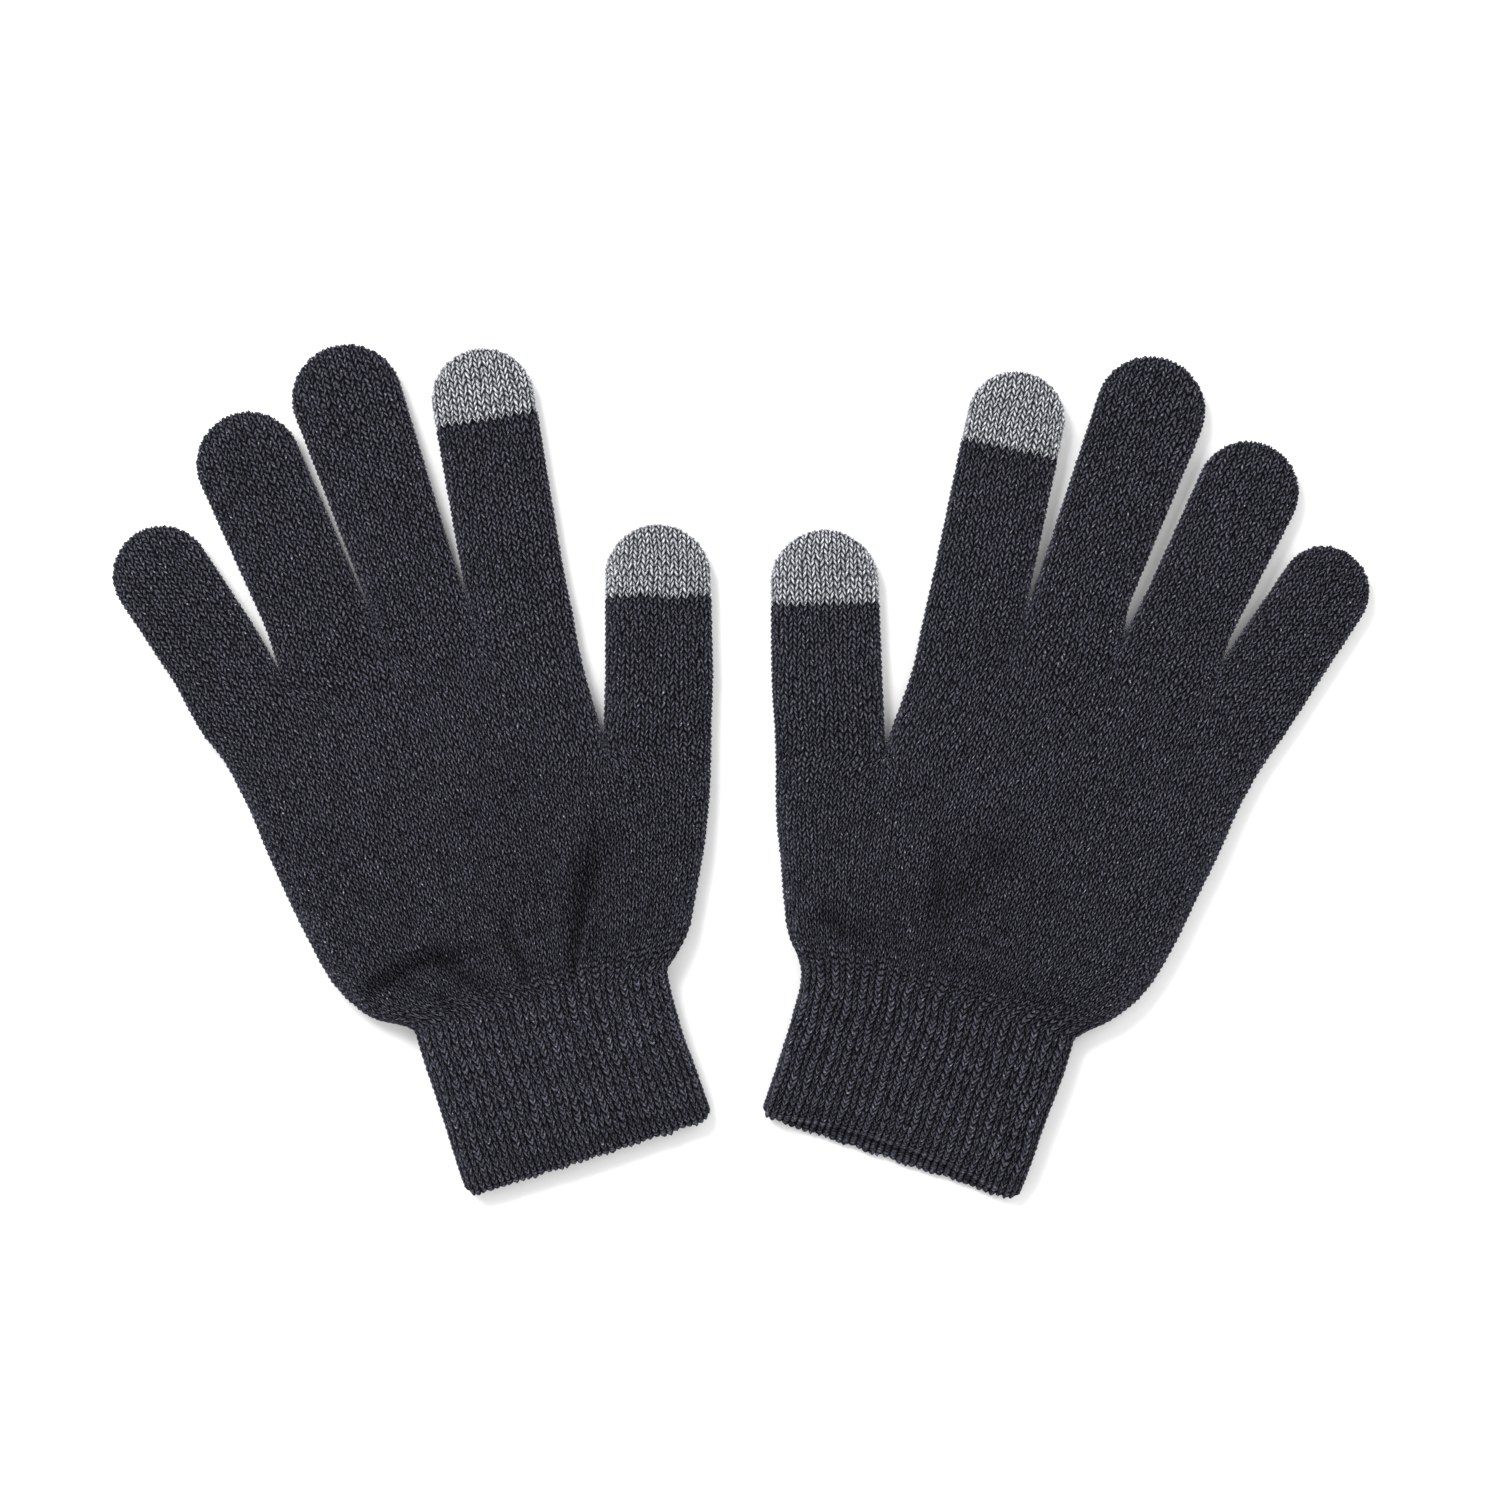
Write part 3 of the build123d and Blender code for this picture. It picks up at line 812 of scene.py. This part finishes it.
def cuff_place(glove, xi, course, face):
    """Out, up and height share of the cuff; course 0 is the hem and CUFF_COURSES the wrist."""
    share = course / CUFF_COURSES
    down = glove.cuff_length * (1.0 - share)
    low, high = glove.cuff_little(1.0 - share), glove.cuff_thumb(1.0 - share)
    place, rise = across(xi, high - low, 1.6 * CUFF_HALF, 1.0, 1.0)
    out = low + (high - low) * place
    up = -down + glove.tilt * out * smooth(share * share) + glove.hem_tilt * out * (1.0 - share)
    near = np.clip(HEM_CORNER - np.minimum(out - low, high - out), 0.0, HEM_CORNER)
    open_share = np.clip(1.0 - share, 0.0, 1.0)
    up = up + (HEM_CORNER - np.sqrt(HEM_CORNER ** 2 - near ** 2)) * open_share ** 3
    if face > 0:
        up = up + glove.open_mouth * np.sin(math.pi * place) ** 0.8 * open_share ** 2
    return out, up, rise


def rib(u, face):
    """Raised and sunk wales of the 1x1 rib, smooth, from 0 to 1."""
    return 0.5 + 0.5 * np.cos(math.pi * (u - 0.5 + (0 if face > 0 else 1)))


def rib_rise_and_shade(glove, ribs):
    """How far the yarn stands up in a sunk wale of the rib compared with a raised one; the lower yarn there
    also gets more painted groove shade.
    """
    return 1.0 - 0.55 * glove.rib_depth * (1.0 - ribs)


def rib_warp(u, face):
    """How far a point is moved across, in wales, so that raised wales are wide and sunk ones narrow."""
    return 0.10 * face * np.sin(math.pi * (u - 0.5)) * smooth(from_side(u, CUFF_WALES))


def cuff_cloth(glove, depth):
    """The cloth of the cuff at a depth below its outside, as a function like Glove.cloth."""
    def cloth(_, xi, course, face):
        out, up, rise = cuff_place(glove, xi, np.maximum(course, 0.0), face)
        outer_half = CUFF_HALF - MOUTH_SAG * smooth(1.0 - course / 4.5)
        z = outer_half + CLEAR + face * (outer_half - YARN_DEPTH - depth) * rise
        if face > 0:
            fade = smooth((CUFF_COURSES - course) / 3.0)
            z = z + 0.2 * glove.dents(out, up) * smooth(rise * 1.6 - 0.5) * fade
        return np.stack([out, up, z], axis=-1), None
    return cloth


def bend_with_cuff(piece, glove):
    start, end = (glove.point(0, -down, CUFF_BEND_HEIGHT) for down in CUFF_BEND)
    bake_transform(piece)


def cuff_pieces(glove):
    """The rib with its lining, the bound-off edge and the elastic."""
    name = glove.name
    outer, inner = cuff_cloth(glove, 0.0), cuff_cloth(glove, LINING_DEPTH)
    patches = []
    for face in (1, -1):
        u, v = stitch_grid(CUFF_WALES, HEM_COURSES, CUFF_COURSES)
        free = smooth((CUFF_COURSES - v) / 2.0) * smooth((v - HEM_COURSES) / 1.5)
        free = free * smooth(from_side(u, CUFF_WALES))
        tall, pick = yarn_height(u, v + 0.5, glove.rib_picks, 1.0)
        drift = RIB_SWAY * glove.sway(u * 2.0 + 60 * face, v * 1.5 + 300) + RIB_SLIP * (pick - 0.5)
        aside = RIB_SWAY_ASIDE * glove.sway(u * 2.0 + 140 * face, v * 1.5)
        aside = aside + RIB_SLIP_ASIDE * second_pick(pick)
        course = v + vee(u) + drift * free
        xi = (u + aside * free + rib_warp(u, face) * smooth((v - HEM_COURSES) / 3.0)) / CUFF_WALES
        normal = normals_of(outer, None, xi, course, face)
        ribs, edge = rib(u, face), smooth(from_side(u, CUFF_WALES) / 0.5)
        tall = tall * rib_rise_and_shade(glove, ribs)
        lift = (RELIEF * tall - glove.rib_depth * (1.0 - ribs)) * edge
        points = outer(None, xi, course, face)[0] + normal * lift[..., None]
        patches.append(make_patch(points, normal, u, v, tall, pick, face))
    piece = join_patches(f"{name}_cuff_knit", glove, patches, CUFF_WALES, (HEM_COURSES, CUFF_COURSES))
    layers = [piece, cuff_lining(glove, inner)]
    with bpy.context.temp_override(active_object=piece, selected_editable_objects=layers):
        bpy.ops.object.join()
    finish_piece(piece, f"{name}_cuff", RIB)
    bend_with_cuff(piece, glove)
    hem = hem_piece(glove, outer, inner)
    finish_piece(hem, f"{name}_cuff_hem", RIB, f"{name}_cuff")
    yarn = elastic_piece(glove)
    finish_piece(yarn, f"{name}_cuff_elastic", ELASTIC)
    bend_with_cuff(yarn, glove)


def elastic_piece(glove):
    """The covered elastic yarn, laid round and round inside the rib."""
    reach = np.abs(glove.node_points(f"{glove.name}_cuff_elastic")[:, 0]).max() - ELASTIC_RADIUS
    half = reach - ELASTIC_BEND
    bend = np.linspace(0.0, math.pi, ELASTIC_BEND_STEPS + 2)[1:-1]
    run = np.linspace(-half, half, ELASTIC_RUN_STEPS)
    path = []
    for turn in range(ELASTIC_TURNS):
        up, next_up = -ELASTIC_PITCH * (turn + 1), -ELASTIC_PITCH * (turn + 2)
        path += [(out, up, -ELASTIC_BEND) for out in run[::-1]]
        path += [(-half - ELASTIC_BEND * math.sin(a), up, -ELASTIC_BEND * math.cos(a)) for a in bend]
        path += [(out, up + (next_up - up) * (out / half + 1) / 2, ELASTIC_BEND) for out in run]
        path += [(half + ELASTIC_BEND * math.sin(a), next_up, ELASTIC_BEND * math.cos(a)) for a in bend]
    path = np.array(path) + (0.0, 0.0, ELASTIC_HEIGHT)
    steps = np.concatenate([[0.0], np.cumsum(np.linalg.norm(np.diff(path, axis=0), axis=1))])
    ahead = np.gradient(path, axis=0)
    ahead /= np.linalg.norm(ahead, axis=1, keepdims=True)
    side = np.cross(ahead, (0.0, 1.0, 0.0))
    side /= np.linalg.norm(side, axis=1, keepdims=True)
    around, walk = np.meshgrid(np.arange(ELASTIC_SIDES + 1) / ELASTIC_SIDES, steps)
    angle = around % 1.0 * 2 * math.pi
    third = np.cross(side, ahead)
    normal = third[:, None] * np.cos(angle)[..., None] + side[:, None] * np.sin(angle)[..., None]
    wrap = 0.5 + 0.5 * np.cos(2 * angle - walk * 2 * math.pi / ELASTIC_TWIST)
    thick = ELASTIC_RADIUS * (0.82 + 0.18 * wrap)
    thick[0] = thick[-1] = 0.0
    points = path[:, None] + normal * thick[..., None]
    patches = [make_patch(points, normal, around, walk, wrap, wrap, 1)]
    return join_patches(f"{glove.name}_cuff_elastic_yarn", glove, patches, 1, (0.0, steps[-1]), 0)


def cuff_lining(glove, inner):
    """The inside of the rib, a little coarser, where only the mouth of the cuff shows it."""
    patches = []
    for face in (1, -1):
        u, v = stitch_grid(CUFF_WALES, HEM_COURSES, CUFF_COURSES, 4, 2)
        xi = u / CUFF_WALES
        normal = normals_of(inner, None, xi, v, face)
        tall = rib(u + 1, face) * (0.5 + 0.5 * np.abs(np.sin(math.pi * v)))
        points = inner(None, xi, v, face)[0] - normal * (0.45 * tall)[..., None]
        patches.append(make_patch(points, -normal, u, v, 0.45 + 0.55 * tall, np.full(u.shape, 0.4), -face))
    return join_patches(f"{glove.name}_cuff_lining", glove, patches, CUFF_WALES,
                        (HEM_COURSES, CUFF_COURSES), 0)


def hem_piece(glove, outer, inner):
    """The bound-off edge: down the outside, round the edge and up the inside, a bump to every wale."""
    patches = []
    for face in (1, -1):
        u = np.arange(CUFF_WALES * WALE_STEPS + 1) / WALE_STEPS
        u, p = np.meshgrid(u, np.linspace(0.0, 1.0, HEM_ROWS))
        xi = u / CUFF_WALES
        outer_share = np.clip(1.0 - p / HEM_SIDE, 0, 1)
        row = HEM_COURSES * (outer_share + np.clip(1.0 - (1.0 - p) / HEM_SIDE, 0, 1))
        course = row + vee(u) * smooth(row / 1.3)
        outside_cloth, inside_cloth = outer(None, xi, course, face)[0], inner(None, xi, row, face)[0]
        turn = np.clip((p - HEM_SIDE) / (1.0 - 2.0 * HEM_SIDE), 0, 1) * math.pi
        mix = (0.5 - 0.5 * np.cos(turn))[..., None]
        cloth = outside_cloth * (1 - mix) + inside_cloth * mix
        ribs, edge = rib(u, face), smooth(from_side(u, CUFF_WALES) / 0.5)
        tall, pick = yarn_height(u, row + 0.5, glove.rib_picks, 1.0)
        bump = np.abs(np.sin(math.pi * u)) ** 0.7
        uneven = HEM_UNEVEN * glove.sway(u * 3.2 + 20 * face, 400.0)
        cloth[..., 1] -= (0.35 + (0.35 + 0.6 * pick) * bump + uneven) * np.sin(turn)
        normal = normals_of(outer, None, xi, course + 0.3, face) * np.cos(turn)[..., None]
        chain = bump * (0.25 + 0.6 * np.abs(np.sin(math.pi * (p * 11.0 + 0.25 + pick))))
        tall = chain + (tall - chain) * smooth(outer_share * 2.5)
        tall = tall * rib_rise_and_shade(glove, ribs)
        lift = (RELIEF * tall - glove.rib_depth * (1.0 - ribs)) * edge * np.where(p <= 0.5, 1.0, 0.4)
        points = cloth + normal * lift[..., None]
        patches.append(make_patch(points, normal, u, p * HEM_BAKE_ROWS, tall, pick, -face))
    return join_patches(f"{glove.name}_cuff_hem_knit", glove, patches, CUFF_WALES, (0, HEM_BAKE_ROWS),
                        HEM_FIBRE_SHARE)


for glove in GLOVES:
    palm_piece(glove)
    for strip in STRIPS:
        finger_pieces(glove, strip)
    cuff_pieces(glove)

# ---- Table, light and camera ----
scene = bpy.context.scene
bpy.ops.mesh.primitive_plane_add(size=6.0, location=(0, 0, -0.0002))
floor = bpy.context.object
floor.name = "table"
floor.data.materials.append(plain_material("pale_table", (0.93, 0.93, 0.935), 0.6, 40, 0.01))

world = bpy.data.worlds.new("studio")
scene.world = world
world.use_nodes = True
sky = world.node_tree.nodes["Background"]
sky.inputs["Color"].default_value = (1.0, 1.0, 1.0, 1)
sky.inputs["Strength"].default_value = 0.95


def softbox(name, location, size, power):
    """A large lamp aimed at the middle of the pair."""
    light = bpy.data.lights.new(name, "AREA")
    light.shape = "RECTANGLE"
    light.size, light.size_y = size
    light.energy = power
    lamp = bpy.data.objects.new(name, light)
    lamp.location = location
    lamp.rotation_euler = (-Vector(location)).to_track_quat("-Z", "Y").to_euler()
    scene.collection.objects.link(lamp)


softbox("key", location=(-0.62, 0.82, 1.15), size=(0.6, 0.5), power=19)
softbox("fill", location=(0.9, 0.5, 1.3), size=(1.2, 1.2), power=6)

# The camera looks straight down; the view is VIEW_WIDTH wide at the height VIEW_LEVEL.
VIEW_WIDTH, VIEW_LEVEL = 0.393, 0.009
VIEW_CENTRE = (0.0029, 0.0054)
camera_data = bpy.data.cameras.new("camera")
camera_data.lens = 85.0
camera_data.sensor_width = 36.0
camera_data.clip_end = 20.0
camera = bpy.data.objects.new("camera", camera_data)
camera.location = (*VIEW_CENTRE, VIEW_WIDTH * camera_data.lens / camera_data.sensor_width + VIEW_LEVEL)
scene.collection.objects.link(camera)
scene.camera = camera
scene.view_settings.view_transform = "Standard"
